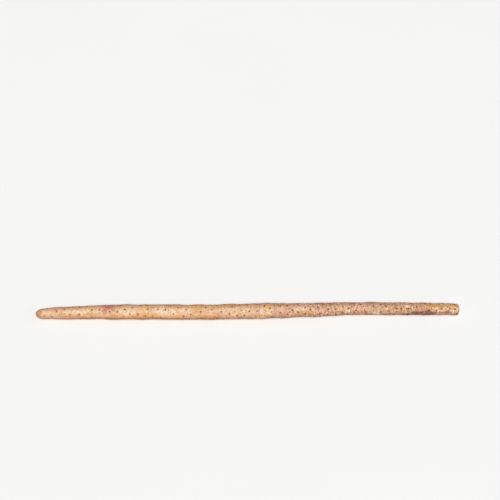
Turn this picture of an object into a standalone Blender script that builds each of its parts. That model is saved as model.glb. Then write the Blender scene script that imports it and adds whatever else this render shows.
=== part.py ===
"""A Chinese yam: one long, slim tuber, lying on its side as it was dug and trimmed.

The blunt growing tip points along -X and the trimmed crown along +X. The origin is on the
surface that the yam lies on, under the middle of its outline. Sizes are in metres.
"""

import math
import random

import bmesh
import bpy
import numpy as np

# Driving dimensions
LENGTH = 0.700
TIP_LENGTH = 0.014  # the rounded growing tip
CROWN_ROUND = 0.0022  # the worn edge round the trimmed crown
CROWN_SLANT = math.radians(4.0)  # how far the trimming cut leans from square
CROWN_SLANT_REACH = 0.012  # the lean fades out over this length
CROWN_HOLLOW = 0.0008  # the cut flesh dries in by this much at its middle
CROWN_FLESH = (0.45, 0.7)  # a ring on the cut, as (share of the radius, share of the hollow)
SINK = 0.0007  # how much of the roundness is pressed flat where the yam rests

# The girth, as (share of the length from the tip, diameter)
GIRTH = (
    (0.00, 0.0172),
    (0.03, 0.0180),
    (0.065, 0.0197),
    (0.105, 0.0216),
    (0.15, 0.0230),
    (0.21, 0.0241),
    (0.27, 0.0246),
    (0.39, 0.0243),
    (0.51, 0.0250),
    (0.565, 0.0245),
    (0.625, 0.0231),
    (0.67, 0.0220),
    (0.72, 0.0213),
    (0.81, 0.0205),
    (0.91, 0.0202),
    (0.955, 0.0195),
    (1.00, 0.0186),
)
# How far the middle line strays sideways, as (share, distance)
SWAY = (
    (0.00, -0.0007),
    (0.08, 0.0001),
    (0.15, 0.0009),
    (0.27, -0.0011),
    (0.40, -0.0016),
    (0.52, -0.0019),
    (0.64, -0.0002),
    (0.76, 0.0023),
    (0.88, 0.0006),
    (1.00, -0.0021),
)
# How far the underside clears the surface that the yam lies on, as (share, distance)
CLEARANCE = (
    (0.00, 0.0022),
    (0.06, 0.0012),
    (0.15, 0.0),
    (0.27, 0.0012),
    (0.40, 0.0),
    (0.58, 0.0016),
    (0.76, 0.0),
    (0.88, 0.0010),
    (1.00, 0.0022),
)
# Low swellings, as (wavelength along the yam, waves round it, height)
SWELLS = (
    (0.112, 0, 0.00018),
    (0.047, 0, 0.00014),
    (0.160, 1, 0.00038),
    (0.085, 2, 0.00030),
    (0.058, 1, 0.00026),
    (0.041, 3, 0.00020),
    (0.029, 2, 0.00015),
)
SWELL_SEED = 11
# Growth creases that run part of the way round, as (share, the deepest turn, turns spanned, depth)
CREASES = (
    (0.065, 0.30, 0.55, 0.00025),
    (0.205, 0.70, 0.50, 0.00022),
    (0.315, 0.15, 0.60, 0.00025),
    (0.435, 0.45, 0.45, 0.00022),
    (0.527, 0.30, 0.75, 0.00040),
    (0.567, 0.22, 0.65, 0.00035),
    (0.655, 0.85, 0.55, 0.00028),
    (0.745, 0.28, 0.70, 0.00034),
    (0.835, 0.60, 0.60, 0.00030),
    (0.895, 0.20, 0.65, 0.00032),
    (0.952, 0.33, 0.80, 0.00038),
)
CREASE_WIDTH = 0.0012

# The mesh: even rings along the body, with three finer ones in each crease
SIDES = 20
RINGS = 164
TIP_RINGS = 6
CROWN_RINGS = 3

# Root nubs, each the stub of a feeder root: closer together towards the crown
NUB_SEED = 5
NUB_GAP_TIP = 0.0118
NUB_GAP_CROWN = 0.0078
NUB_RADIUS = (0.00065, 0.00095)
NUB_HEIGHT = (0.00035, 0.00075)
NUB_LEAST_Z = 0.0016  # none sits where the yam is pressed flat
NUB_TURN_OFFSET = 0.18  # the play of a nub inside its cell, as a share of the cell

SKIN_COLOUR = (0.60, 0.41, 0.26, 1.0)
SKIN_ROUGHNESS = 0.82
SHARP_ANGLE = math.radians(50)  # edges sharper than this are shaded as edges


def through(stations, share):
    """A smooth curve through (share, value) stations, read at each share."""
    at, value = np.array(stations, float).T
    slope = np.gradient(value, at)
    left = np.clip(np.searchsorted(at, share) - 1, 0, len(at) - 2)
    width = at[left + 1] - at[left]
    t = (share - at[left]) / width
    start = value[left] * (1 + 2 * t) * (1 - t) ** 2 + slope[left] * width * t * (1 - t) ** 2
    end = value[left + 1] * t * t * (3 - 2 * t) + slope[left + 1] * width * t * t * (t - 1)
    return start + end


def girth_radius(along):
    """The plain radius at a distance from the tip, with the tip rounded off."""
    tip = np.clip(1 - along / TIP_LENGTH, 0, 1)
    return through(GIRTH, along / LENGTH) / 2 * np.sqrt(1 - tip * tip)


def swelling(along, turn):
    """The height of the low swellings at a point of the skin."""
    draw = random.Random(SWELL_SEED)
    height = np.zeros(np.broadcast(along, turn).shape)
    for wavelength, waves, most in SWELLS:
        first, second = draw.random(), draw.random()
        wave = np.sin(2 * np.pi * (along / wavelength + first))
        height = height + most * wave * np.cos(2 * np.pi * (waves * turn + second))
    return height * np.clip(along / TIP_LENGTH, 0, 1)


def crease_place(share):
    """The distance from the tip of a crease, at the middle of the nearest gap between even rings."""
    pitch = ring_pitch()
    return TIP_LENGTH + (math.floor((share * LENGTH - TIP_LENGTH) / pitch) + 0.5) * pitch


def creasing(along, turn):
    """The depth of the creases at a point of the skin."""
    depth = np.zeros(np.broadcast(along, turn).shape)
    for share, deepest, span, most in CREASES:
        off = np.abs((turn - deepest + 0.5) % 1.0 - 0.5) / (span / 2)
        reach = np.clip(1 - off, 0, 1) ** 0.5
        depth = depth + most * reach * np.exp(-(((along - crease_place(share)) / CREASE_WIDTH) ** 2))
    return depth


def skin(along, turn, lift=0.0):
    """A point on the skin as (x, y, z) arrays, before the underside is pressed flat."""
    along, turn = np.asarray(along, float), np.asarray(turn, float)
    share = along / LENGTH
    radius = girth_radius(along) + swelling(along, turn) - creasing(along, turn) + lift
    middle = girth_radius(np.maximum(along, TIP_LENGTH)) + through(CLEARANCE, share) - SINK
    x = along - LENGTH / 2
    y = through(SWAY, share) + radius * np.cos(2 * np.pi * turn)
    z = middle + radius * np.sin(2 * np.pi * turn)
    return np.stack(np.broadcast_arrays(x, y, z), axis=-1)


def ring_pitch():
    """The distance between two even rings."""
    return (LENGTH - CROWN_ROUND - TIP_LENGTH) / RINGS


def body_rings():
    """The rings' distances from the tip, and for each gap after a ring whether a nub may sit in it."""
    pitch = ring_pitch()
    creased = {round((crease_place(share) - TIP_LENGTH) / pitch - 0.5) for share, *_ in CREASES}
    places = [TIP_LENGTH * (1 - math.cos(k * math.pi / 2 / TIP_RINGS)) for k in range(1, TIP_RINGS)]
    free = [False] * len(places)
    for ring in range(RINGS):
        start = TIP_LENGTH + ring * pitch
        places.append(start)
        free.append(ring not in creased)
        if ring in creased:
            middle = start + pitch / 2
            places += [middle - CREASE_WIDTH, middle, middle + CREASE_WIDTH]
            free += [False] * 3
    places.append(LENGTH - CROWN_ROUND)
    return places, free


def nub_sites():
    """The nubs by cell, as {(ring, side): (distance from the tip, turn, radius, height)}."""
    places, free = body_rings()
    cells = [(i, j) for i, is_free in enumerate(free) if is_free for j in range(SIDES)]
    draw = random.Random(NUB_SEED)
    draw.shuffle(cells)
    sites = {}
    for i, j in cells:
        play = NUB_TURN_OFFSET
        along = places[i] + (places[i + 1] - places[i]) * (0.5 + draw.uniform(-play, play))
        turn = (j + 0.5 + draw.uniform(-play, play) / 2) / SIDES
        radius, height = draw.uniform(*NUB_RADIUS), draw.uniform(*NUB_HEIGHT)
        gap = NUB_GAP_TIP + (NUB_GAP_CROWN - NUB_GAP_TIP) * along / LENGTH
        round_skin = 2 * math.pi * float(girth_radius(along))
        near = any(
            (along - a) ** 2 + (((turn - t + 0.5) % 1.0 - 0.5) * round_skin) ** 2 < gap * gap
            for a, t, _, _ in sites.values()
        )
        if not near and skin(along, turn)[2] > NUB_LEAST_Z:
            sites[i, j] = (along, turn, radius, height)
    return sites


def crown_rings():
    """The rings over the worn edge and on the cut, as (distance from the tip, share of the radius)."""
    rings = []
    for k in range(1, CROWN_RINGS + 1):
        angle = k * math.pi / 2 / CROWN_RINGS
        along = LENGTH - CROWN_ROUND * (1 - math.sin(angle))
        rim = 1 - CROWN_ROUND * (1 - math.cos(angle)) / float(girth_radius(LENGTH))
        rings.append((along, rim))
    share, hollow = CROWN_FLESH
    rings.append((LENGTH - CROWN_HOLLOW * hollow, share))
    return rings


def slanted(point):
    """The point moved along X by the lean of the trimming cut, which fades away from the crown."""
    x, y, z = point
    fade = min(max((x - LENGTH / 2) / CROWN_SLANT_REACH + 1, 0.0), 1.0)
    middle = float(girth_radius(LENGTH))
    return (x + math.tan(CROWN_SLANT) * (z - middle) * fade, y, z)


def pressed(point):
    """The point with what would reach under the resting surface pressed flat on it."""
    x, y, z = slanted(point)
    return (x, y, max(z, 0.0))


def add_ring(mesh, points):
    return [mesh.verts.new(pressed(point)) for point in points]


def add_band(mesh, first, second):
    """Quads between two rings, given tip side first."""
    for j in range(SIDES):
        k = (j + 1) % SIDES
        mesh.faces.new((first[j], second[j], second[k], first[k]))


def add_nub(mesh, corners, site):
    """A low four-sided stub inside a cell, whose corners are tip side first."""
    along, turn, radius, height = site
    turn_radius = radius / (2 * math.pi * float(girth_radius(along)))
    steps = ((-1, -1), (1, -1), (1, 1), (-1, 1))
    base = [
        mesh.verts.new(pressed(skin(along + radius * a, turn + turn_radius * b)))
        for a, b in steps
    ]
    top = mesh.verts.new(pressed(skin(along, turn, lift=height)))
    for k in range(4):
        after = (k + 1) % 4
        mesh.faces.new((corners[k], corners[after], base[after], base[k]))
        mesh.faces.new((base[k], base[after], top))


def add_body(mesh):
    """The skin from the tip to the start of the worn edge. It returns the last ring."""
    turns = np.arange(SIDES) / SIDES
    places, _ = body_rings()
    sites = nub_sites()
    tip = mesh.verts.new(pressed(skin(0.0, 0.0)))
    rings = [add_ring(mesh, skin(along, turns)) for along in places]
    for j in range(SIDES):
        mesh.faces.new((tip, rings[0][j], rings[0][(j + 1) % SIDES]))
    for i in range(len(rings) - 1):
        for j in range(SIDES):
            k = (j + 1) % SIDES
            corners = (rings[i][j], rings[i + 1][j], rings[i + 1][k], rings[i][k])
            if (i, j) in sites:
                add_nub(mesh, corners, sites[i, j])
            else:
                mesh.faces.new(corners)
    return rings[-1]


def add_crown(mesh, last):
    """The worn edge and the trimmed face, closed on a middle point."""
    turns = np.arange(SIDES) / SIDES
    edge = skin(LENGTH, turns)
    middle = edge.mean(axis=0)
    for along, rim in crown_rings():
        points = middle + (edge - middle) * rim
        points[:, 0] = along - LENGTH / 2
        ring = add_ring(mesh, points)
        add_band(mesh, last, ring)
        last = ring
    middle[0] = LENGTH / 2 - CROWN_HOLLOW
    centre = mesh.verts.new(pressed(middle))
    for j in range(SIDES):
        mesh.faces.new((last[j], centre, last[(j + 1) % SIDES]))


def skin_material():
    material = bpy.data.materials.new("yam_skin")
    material.use_nodes = True
    shader = material.node_tree.nodes["Principled BSDF"]
    shader.inputs["Base Color"].default_value = SKIN_COLOUR
    shader.inputs["Roughness"].default_value = SKIN_ROUGHNESS
    shader.inputs["Metallic"].default_value = 0.0
    return material


def make_yam():
    """The whole tuber as one object, centred over the origin and resting at z = 0."""
    mesh = bmesh.new()
    add_crown(mesh, add_body(mesh))
    bmesh.ops.recalc_face_normals(mesh, faces=mesh.faces)
    corners = np.array([vertex.co for vertex in mesh.verts])
    middle = (corners.min(axis=0) + corners.max(axis=0)) / 2
    bmesh.ops.translate(mesh, verts=mesh.verts, vec=(-middle[0], -middle[1], 0.0))
    data = bpy.data.meshes.new("yam")
    mesh.to_mesh(data)
    mesh.free()
    data.shade_smooth()
    data.set_sharp_from_angle(angle=SHARP_ANGLE)
    data.materials.append(skin_material())
    yam = bpy.data.objects.new("yam", data)
    bpy.context.scene.collection.objects.link(yam)
    return yam


def main():
    for obj in list(bpy.data.objects):
        bpy.data.objects.remove(obj)
    make_yam()


main()
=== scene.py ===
"""The looks of a Chinese yam, built round its solid.

It has the skin with its wrinkles and creases, the cut crown, the stubs of the feeder roots, small
scars, rootlets, loose flakes of skin and crumbs of soil, and a plain stage. The growing tip points
along -X and the trimmed crown along +X. Sizes are in metres.
"""

import math
import random

import bpy
import numpy as np
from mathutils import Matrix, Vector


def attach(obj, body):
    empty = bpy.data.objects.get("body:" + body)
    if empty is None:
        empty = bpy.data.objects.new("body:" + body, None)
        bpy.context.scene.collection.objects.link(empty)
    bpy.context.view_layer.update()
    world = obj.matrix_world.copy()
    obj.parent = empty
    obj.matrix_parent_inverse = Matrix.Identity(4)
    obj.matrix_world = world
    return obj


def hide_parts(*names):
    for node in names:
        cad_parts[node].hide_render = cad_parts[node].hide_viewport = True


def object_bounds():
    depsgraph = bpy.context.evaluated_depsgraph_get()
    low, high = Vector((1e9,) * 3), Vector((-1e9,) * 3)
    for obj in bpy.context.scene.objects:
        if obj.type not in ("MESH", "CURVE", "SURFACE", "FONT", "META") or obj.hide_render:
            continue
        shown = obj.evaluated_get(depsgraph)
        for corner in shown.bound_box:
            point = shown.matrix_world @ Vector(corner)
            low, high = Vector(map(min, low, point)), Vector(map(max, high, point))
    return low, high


bl_info = {
    "name": "Chinese Yam",
    "version": (1, 0, 0),
    "blender": (4, 5, 0),
    "location": "3D View > Sidebar > Yam",
    "description": "Dresses the solid of a Chinese yam with its skin, roots, flakes, soil and a stage",
    "category": "Add Mesh",
}

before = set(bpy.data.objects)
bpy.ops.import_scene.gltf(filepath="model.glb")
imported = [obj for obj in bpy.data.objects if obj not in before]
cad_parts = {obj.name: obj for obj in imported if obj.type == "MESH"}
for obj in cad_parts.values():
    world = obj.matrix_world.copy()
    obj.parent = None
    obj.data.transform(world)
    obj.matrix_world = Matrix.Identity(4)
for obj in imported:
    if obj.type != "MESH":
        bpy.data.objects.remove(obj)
CAD_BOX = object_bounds()

# The solid's own sizes
LENGTH = 0.700
TIP_LENGTH = 0.014
CROWN_ROUND = 0.0022
CROWN_SLANT = math.radians(4.0)
CROWN_SLANT_REACH = 0.012
CROWN_HOLLOW = 0.0008
SINK = 0.0007
RINGS = 164
# Stations along the yam: (share of the length, thickness, or how far its middle sways or clears)
GIRTH = (
    (0.00, 0.0172), (0.03, 0.0180), (0.065, 0.0197), (0.105, 0.0216), (0.15, 0.0230), (0.21, 0.0241),
    (0.27, 0.0246), (0.39, 0.0243), (0.51, 0.0250), (0.565, 0.0245), (0.625, 0.0231), (0.67, 0.0220),
    (0.72, 0.0213), (0.81, 0.0205), (0.91, 0.0202), (0.955, 0.0195), (1.00, 0.0186),
)
SWAY = (
    (0.00, -0.0007), (0.08, 0.0001), (0.15, 0.0009), (0.27, -0.0011), (0.40, -0.0016), (0.52, -0.0019),
    (0.64, -0.0002), (0.76, 0.0023), (0.88, 0.0006), (1.00, -0.0021),
)
CLEARANCE = (
    (0.00, 0.0022), (0.06, 0.0012), (0.15, 0.0), (0.27, 0.0012), (0.40, 0.0), (0.58, 0.0016),
    (0.76, 0.0), (0.88, 0.0010), (1.00, 0.0022),
)
# Low swellings: (wavelength along the yam, waves round it, height)
SWELLS = (
    (0.112, 0, 0.00018), (0.047, 0, 0.00014), (0.160, 1, 0.00038), (0.085, 2, 0.00030),
    (0.058, 1, 0.00026), (0.041, 3, 0.00020), (0.029, 2, 0.00015),
)
SWELL_SEED = 11
# Creases: (share of the length, turn where it is deepest, turns that it spans, depth)
CREASES = (
    (0.065, 0.30, 0.55, 0.00025), (0.205, 0.70, 0.50, 0.00022), (0.315, 0.15, 0.60, 0.00025),
    (0.435, 0.45, 0.45, 0.00022), (0.527, 0.30, 0.75, 0.00040), (0.567, 0.22, 0.65, 0.00035),
    (0.655, 0.85, 0.55, 0.00028), (0.745, 0.28, 0.70, 0.00034), (0.835, 0.60, 0.60, 0.00030),
    (0.895, 0.20, 0.65, 0.00032), (0.952, 0.33, 0.80, 0.00038),
)
CREASE_WIDTH = 0.0012
LEAST_NUB = 0.0003  # a vertex of the solid that stands this proud of the plain skin is a nub's top

# The fine skin
TIP_ROWS = 17
EDGE_ROWS = 8
CUT_ROWS = 13
CUT_START = 0.25  # how far over the crown's worn edge the skin ends and the flesh starts
UNSHADED_TURN = 0.310  # the skin is palest along this line, which faces the camera, and along the one across from it: the painted flank shade is nil there and strongest on the two sides between
WEATHERED = (0.46, 0.68)  # the shares of the length between which the skin turns brown
PRESSED = (0.0003, 0.0016)  # the heights off the floor between which the skin's relief comes in
FULL_CREASE = 0.0003  # a crease this deep is coloured in full
WART_RANGE = (0.55, 1.15)  # the smallest and largest wart beside the set radius
WART_SEED = 8
ROOTLET_TURNS = (-0.16, 0.66)  # the loose rootlets lie on the upper side and the flanks
SHADE_SEED = 17
MOST_TWIST = 6.28  # about a full turn, in radians
NODE_SPACING = 180
NUMBER_SOCKETS = {int: "Int", float: "Float"}

# The stage, with places in metres, turns and spreads in degrees, and the lens in millimetres
CAMERA_PLACE = (-0.003035, -0.558805, 1.050053)
CAMERA_TURN = (33.2, 0.0, -0.77)
LENS = 51.05
SENSOR_WIDTH = 36.0
KEY_PLACE = (0.10, -0.40, 0.90)
KEY_SPREAD = 25.0
SIDE_PLACE = (0.9, -0.15, 0.3)
SIDE_SPREAD = 60.0
FLOOR_SIDES = 96

# Patches of colour on the skin: (share of the length, turn, share and turns that it reaches, strength)
BLUSH = (
    (0.174, 0.18, 0.015, 0.13, 1.3),
    (0.167, 0.31, 0.011, 0.13, 0.85),
    (0.184, 0.26, 0.010, 0.10, 0.6),
    (0.452, 0.71, 0.014, 0.10, 0.8),
)
ROSE = (
    (0.588, 0.32, 0.030, 0.13, 0.95),
    (0.640, 0.18, 0.024, 0.10, 0.9),
    (0.757, 0.34, 0.014, 0.14, 0.9),
    (0.878, 0.16, 0.014, 0.10, 1.0),
    (0.700, 0.74, 0.040, 0.14, 0.7),
    (0.930, 0.84, 0.024, 0.12, 0.7),
)
# Rusty patches; the rows marked below are painted shade rather than rust
RUST_AND_SHADE = (
    # partly browner skin, mostly painted shade: the darker tip
    (0.004, 0.25, 0.022, 0.50, 0.75),
    (0.120, 0.55, 0.045, 0.08, 1.0),
    # painted shade: a long darkening along the lower side
    (0.270, 0.505, 0.230, 0.095, 1.0),
    (0.300, 0.88, 0.040, 0.12, 0.6),
    (0.330, 0.55, 0.090, 0.07, 0.8),
    (0.410, 0.49, 0.070, 0.11, 0.9),
    (0.480, 0.50, 0.030, 0.06, 0.7),
    # painted shade along the upper edge
    (0.455, 0.16, 0.040, 0.11, 0.9),
    (0.618, 0.14, 0.016, 0.09, 1.0),
    (0.690, 0.50, 0.040, 0.08, 0.7),
    # painted shade along the upper edge
    (0.690, 0.15, 0.040, 0.10, 0.8),
    (0.962, 0.47, 0.008, 0.07, 0.9),
)
STAIN = (
    (0.926, 0.43, 0.012, 0.10, 1.5),
    (0.914, 0.49, 0.018, 0.12, 1.5),
    (0.897, 0.47, 0.015, 0.10, 1.3),
    (0.880, 0.51, 0.018, 0.08, 1.1),
    (0.938, 0.47, 0.012, 0.10, 1.3),
    (0.640, 0.95, 0.020, 0.12, 0.7),
    (0.790, 0.76, 0.030, 0.14, 0.6),
    (0.972, 0.42, 0.010, 0.08, 0.75),
    (0.994, 0.48, 0.006, 0.08, 1.0),
)
GOLD = (
    (0.940, 0.20, 0.024, 0.16, 1.5),
    (0.952, 0.36, 0.014, 0.10, 1.0),
    (0.982, 0.30, 0.020, 0.24, 1.3),
    (0.548, 0.24, 0.016, 0.08, 0.8),
    (0.562, 0.18, 0.030, 0.06, 0.6),
    (0.530, 0.50, 0.020, 0.08, 0.9),
    (0.400, 0.18, 0.120, 0.09, 0.8),
    (0.260, 0.20, 0.050, 0.08, 0.5),
    (0.260, 0.43, 0.240, 0.06, 0.80),
    (0.120, 0.22, 0.030, 0.08, 0.6),
)
BARE = (
    (0.549, 0.37, 0.011, 0.14, 0.9),
    (0.600, 0.43, 0.012, 0.06, 0.7),
    (0.722, 0.28, 0.024, 0.12, 0.6),
    (0.952, 0.34, 0.020, 0.09, 1.3),
    (0.985, 0.36, 0.012, 0.10, 1.1),
    (0.985, 0.60, 0.020, 0.50, 0.7),
    (0.870, 0.80, 0.018, 0.14, 0.6),
)
CREAM = (
    (0.105, 0.31, 0.050, 0.08, 0.85),
    (0.534, 0.38, 0.008, 0.13, 1.1),
    (0.312, 0.33, 0.030, 0.10, 0.8),
    (0.220, 0.34, 0.020, 0.08, 0.8),
    (0.626, 0.30, 0.016, 0.08, 0.7),
    (0.738, 0.36, 0.008, 0.08, 0.9),
    (0.803, 0.45, 0.014, 0.06, 1.1),
    (0.880, 0.27, 0.020, 0.05, 0.8),
    (0.974, 0.34, 0.006, 0.08, 0.9),
    (0.986, 0.37, 0.007, 0.08, 1.1),
    (0.410, 0.78, 0.030, 0.10, 0.7),
)
PATCHES = {
    "rust": RUST_AND_SHADE,
    "rose": ROSE,
    "gold": GOLD,
    "bare": BARE,
    "cream": CREAM,
    "stain": STAIN,
    "blush": BLUSH,
}


def through(stations, share):
    """A smooth curve through (share, value) stations, read at each share."""
    at, value = np.array(stations, float).T
    slope = np.gradient(value, at)
    left = np.clip(np.searchsorted(at, share) - 1, 0, len(at) - 2)
    width = at[left + 1] - at[left]
    t = (share - at[left]) / width
    start = value[left] * (1 + 2 * t) * (1 - t) ** 2 + slope[left] * width * t * (1 - t) ** 2
    end = value[left + 1] * t * t * (3 - 2 * t) + slope[left + 1] * width * t * t * (t - 1)
    return start + end


def girth_radius(along):
    """The plain radius at a distance from the tip, with the tip rounded off."""
    tip = np.clip(1 - along / TIP_LENGTH, 0, 1)
    return through(GIRTH, along / LENGTH) / 2 * np.sqrt(1 - tip * tip)


def swelling(along, turn):
    """The height of the low swellings at a point of the skin."""
    draw = random.Random(SWELL_SEED)
    height = np.zeros(np.broadcast(along, turn).shape)
    for wavelength, waves, most in SWELLS:
        first, second = draw.random(), draw.random()
        wave = np.sin(2 * np.pi * (along / wavelength + first))
        height = height + most * wave * np.cos(2 * np.pi * (waves * turn + second))
    return height * np.clip(along / TIP_LENGTH, 0, 1)


def apart(turn, other):
    """The shorter way round between two turns."""
    return np.abs((turn - other + 0.5) % 1.0 - 0.5)


def creasing(along, turn):
    """The depth of the creases at a point of the skin."""
    pitch = (LENGTH - CROWN_ROUND - TIP_LENGTH) / RINGS
    depth = np.zeros(np.broadcast(along, turn).shape)
    for share, deepest, span, most in CREASES:
        place = TIP_LENGTH + (math.floor((share * LENGTH - TIP_LENGTH) / pitch) + 0.5) * pitch
        reach = np.clip(1 - apart(turn, deepest) / (span / 2), 0, 1) ** 0.5
        depth = depth + most * reach * np.exp(-(((along - place) / CREASE_WIDTH) ** 2))
    return depth


def middle_line(along):
    """The (y, z) of the yam's middle at a distance from the tip."""
    share = along / LENGTH
    rise = girth_radius(np.maximum(along, TIP_LENGTH)) + through(CLEARANCE, share) - SINK
    return through(SWAY, share), rise


def plain_radius(along, turn):
    return girth_radius(along) + swelling(along, turn) - creasing(along, turn)


def skin(along, turn, lift=0.0):
    """A point on the skin as (x, y, z) arrays, before the crown leans and the underside is pressed flat."""
    along, turn = np.asarray(along, float), np.asarray(turn, float)
    radius = plain_radius(along, turn) + lift
    y, z = middle_line(along)
    y = y + radius * np.cos(2 * np.pi * turn)
    z = z + radius * np.sin(2 * np.pi * turn)
    return np.stack(np.broadcast_arrays(along - LENGTH / 2, y, z), axis=-1)


def settled(points, shift):
    """The points as the solid has them, with the crown's lean, the flat underside and its place."""
    x, y, z = np.moveaxis(points, -1, 0)
    fade = np.clip((x - LENGTH / 2) / CROWN_SLANT_REACH + 1, 0, 1)
    lean = math.tan(CROWN_SLANT) * (z - girth_radius(LENGTH)) * fade
    return np.stack([x + lean, y, np.maximum(z, 0)], axis=-1) + shift


def solid_points():
    """The vertices of the solid, each place once."""
    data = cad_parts["yam"].data
    points = np.empty(len(data.vertices) * 3)
    data.vertices.foreach_get("co", points)
    return np.unique(points.reshape(-1, 3).round(7), axis=0)


def solid_shift():
    """How far the solid was moved to centre it, read at its tip."""
    points = solid_points()
    tip = points[points[:, 0].argmin()]
    return np.append((tip - skin(0.0, 0.0))[:2], 0.0)


def nub_tops():
    """The tops of the solid's root nubs, as (distance from the tip, turn, height) arrays."""
    x, y, z = (solid_points() - solid_shift()).T
    along = np.clip(x + LENGTH / 2, 0, LENGTH)
    middle_y, middle_z = middle_line(along)
    turn = np.arctan2(z - middle_z, y - middle_y) / (2 * np.pi) % 1.0
    height = np.hypot(y - middle_y, z - middle_z) - plain_radius(along, turn)
    tops = (height > LEAST_NUB) & (along > TIP_LENGTH)
    return along[tops], turn[tops], height[tops]


def smooth(low, high, value):
    t = np.clip((value - low) / (high - low), 0, 1)
    return t * t * (3 - 2 * t)


def patch_mask(patches, share, turn):
    """How strongly any of the patches colours each point."""
    mask = np.zeros(np.broadcast(share, turn).shape)
    for at, around, reach, turns, strength in patches:
        away = np.hypot((share - at) / reach, apart(turn, around) / turns)
        mask = np.maximum(mask, strength * (1 - smooth(0.25, 1.25, away)))
    return mask


class Graph:
    """A node tree that nodes are added to and linked in, one call for each."""

    def __init__(self, tree):
        self.tree = tree

    def add(self, kind, inputs=None, **settings):
        node = self.tree.nodes.new(kind)
        node.location.x = NODE_SPACING * len(self.tree.nodes)
        for name, value in settings.items():
            setattr(node, name, value)
        for name, value in (inputs or {}).items():
            self.give(node.inputs[name], value)
        return node

    def give(self, socket, value):
        """Sets an input to a plain value, or links it to another node's output."""
        if isinstance(value, bpy.types.NodeSocket):
            self.tree.links.new(value, socket)
        else:
            socket.default_value = value

    def result(self, kind, inputs=None, **settings):
        """The first output of a new node."""
        return self.add(kind, inputs, **settings).outputs[0]

    def math(self, operation, *values):
        return self.result("ShaderNodeMath", dict(enumerate(values)), operation=operation)

    def plus(self, first, second):
        return self.math("ADD", first, second)

    def minus(self, first, second):
        return self.math("SUBTRACT", first, second)

    def times(self, first, second):
        return self.math("MULTIPLY", first, second)

    def times_plus(self, value, factor, more):
        return self.math("MULTIPLY_ADD", value, factor, more)

    def over(self, first, second):
        return self.math("DIVIDE", first, second)

    def vector(self, operation, *values):
        return self.result("ShaderNodeVectorMath", dict(enumerate(values)), operation=operation)

    def scaled(self, vector, factor):
        return self.result("ShaderNodeVectorMath", {0: vector, "Scale": factor}, operation="SCALE")

    def xyz(self, x, y, z=0.0):
        return self.result("ShaderNodeCombineXYZ", {"X": x, "Y": y, "Z": z})

    def noise(self, vector, size, detail=2.0, roughness=0.5, output=0):
        """Even noise whose marks are about as large as size."""
        inputs = {"Vector": vector, "Scale": self.over(1.0, size), "Detail": detail, "Roughness": roughness}
        return self.add("ShaderNodeTexNoise", inputs).outputs[output]

    def waver(self, vector, size):
        """A chance offset for each place, in marks about as large as size."""
        return self.vector("SUBTRACT", self.noise(vector, size, output=1), (0.5, 0.5, 0.5))

    def band(self, value, low, high, first=0.0, last=1.0):
        """The value led smoothly from low..high to first..last, and held outside it."""
        inputs = {"Value": value, "From Min": low, "From Max": high, "To Min": first, "To Max": last}
        return self.result("ShaderNodeMapRange", inputs, interpolation_type="SMOOTHSTEP")

    def mix(self, factor, first, second, blend="MIX"):
        inputs = {0: factor, 6: first, 7: second}
        return self.add("ShaderNodeMix", inputs, data_type="RGBA", blend_type=blend).outputs[2]

    def painted(self, name):
        """A value that is stored on the mesh, in a material."""
        return self.add("ShaderNodeAttribute", attribute_name=name).outputs["Fac"]

    def named(self, name, kind="FLOAT"):
        """A value that is stored on the mesh, in a geometry tree."""
        return self.result("GeometryNodeInputNamedAttribute", {"Name": name}, data_type=kind)

    def stored(self, geometry, name, value, domain="POINT"):
        """The geometry with a value stored on it."""
        inputs = {"Geometry": geometry, "Name": name, "Value": value}
        return self.result("GeometryNodeStoreNamedAttribute", inputs, data_type="FLOAT", domain=domain)

    def random(self, low, high, seed):
        inputs = {2: low, 3: high, "Seed": seed}
        return self.add("FunctionNodeRandomValue", inputs, data_type="FLOAT").outputs[1]

    def place(self):
        return self.result("GeometryNodeInputPosition")

    def moved(self, geometry, socket, vector):
        """The geometry with its points at a new Position, or moved by an Offset."""
        return self.result("GeometryNodeSetPosition", {"Geometry": geometry, socket: vector})


def linear(*levels):
    """A linear colour from red, green and blue in the usual levels of 0 to 255."""
    shares = [level / 255 for level in levels]
    return [v / 12.92 if v <= 0.04045 else ((v + 0.055) / 1.055) ** 2.4 for v in shares] + [1.0]


def new_group(name, inputs, outputs, kind="ShaderNodeTree"):
    """A new node group. It returns its graph, what it is given and what it makes.

    An input comes with its default, or with the kind of its socket where it has none.
    """
    tree = bpy.data.node_groups.new(name, kind)
    for label, default in inputs.items():
        socket = default if isinstance(default, str) else NUMBER_SOCKETS[type(default)]
        made = tree.interface.new_socket(name=label, in_out="INPUT", socket_type="NodeSocket" + socket)
        if socket != default:
            made.default_value = default
    for label, socket in outputs.items():
        tree.interface.new_socket(name=label, in_out="OUTPUT", socket_type="NodeSocket" + socket)
    graph = Graph(tree)
    return graph, graph.add("NodeGroupInput").outputs, graph.add("NodeGroupOutput").inputs


def drawn_out(graph, given):
    """The group's place, squeezed so that marks are drawn out round the yam."""
    squeeze = graph.over(1.0, given["Stretch"])
    return graph.vector("MULTIPLY", given["Vector"], graph.xyz(1.0, squeeze, squeeze))


def grain_group():
    """Fine tooth: a tone and a height from the same marks, drawn out across the grain."""
    inputs = {"Vector": "Vector", "Size": 0.001, "Stretch": 1.0}
    graph, given, made = new_group("Fine grain", inputs, {"Tone": "Float", "Height": "Float"})
    streaks = graph.noise(drawn_out(graph, given), given["Size"], 3.0, 0.6)
    tooth = graph.noise(given["Vector"], graph.times(given["Size"], 0.4))
    height = graph.times_plus(tooth, 0.4, graph.times(streaks, 0.6))
    graph.give(made["Height"], height)
    graph.give(made["Tone"], graph.band(height, 0.38, 0.62))
    return graph.tree


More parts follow.
